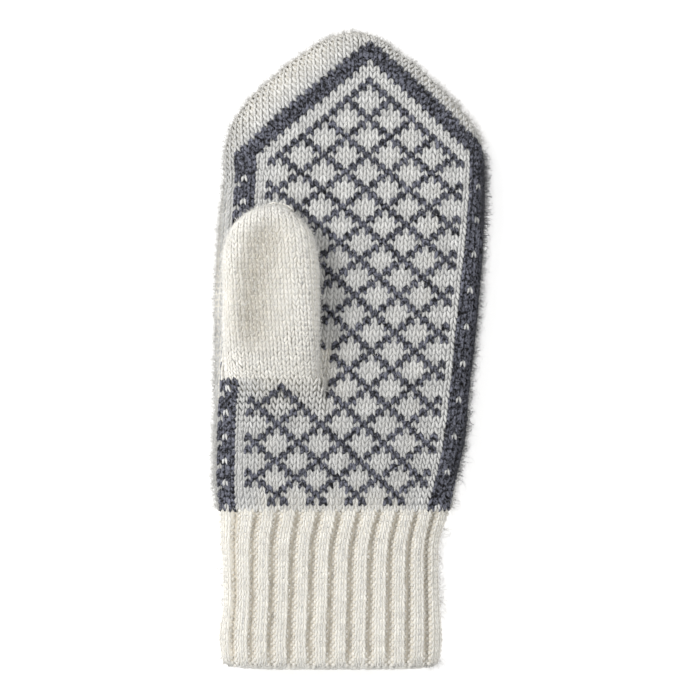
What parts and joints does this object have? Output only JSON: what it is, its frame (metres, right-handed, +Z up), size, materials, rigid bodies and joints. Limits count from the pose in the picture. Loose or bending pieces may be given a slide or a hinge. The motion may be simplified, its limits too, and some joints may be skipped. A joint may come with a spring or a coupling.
{
  "type": "wool mitten",
  "caption": "Hollow hand-knitted wool mitten lying palm up, with a ribbed cuff open at the hem, a flat hand with a pointed rounded tip, and a thumb folded over the palm.",
  "frame": {"origin": "on the surface that the mitten rests on, under the middle of its box", "axes": "+Y from the hem of the cuff to the fingertips, +X across the palm away from the thumb, +Z up out of the palm"},
  "size_m": [0.1134, 0.2622, 0.037],
  "materials": {
    "natural_wool": "undyed natural white wool, knitted, matt and slightly fuzzy",
    "charcoal_wool": "heathered charcoal wool, knitted, matt and slightly fuzzy",
    "patterned_wool": "natural white and charcoal wool in two-colour stranded knitting"
  },
  "bodies": {
    "root": {"cuff": "natural_wool", "hand": "patterned_wool", "thumb": "natural_wool"}
  },
  "joints": []
}
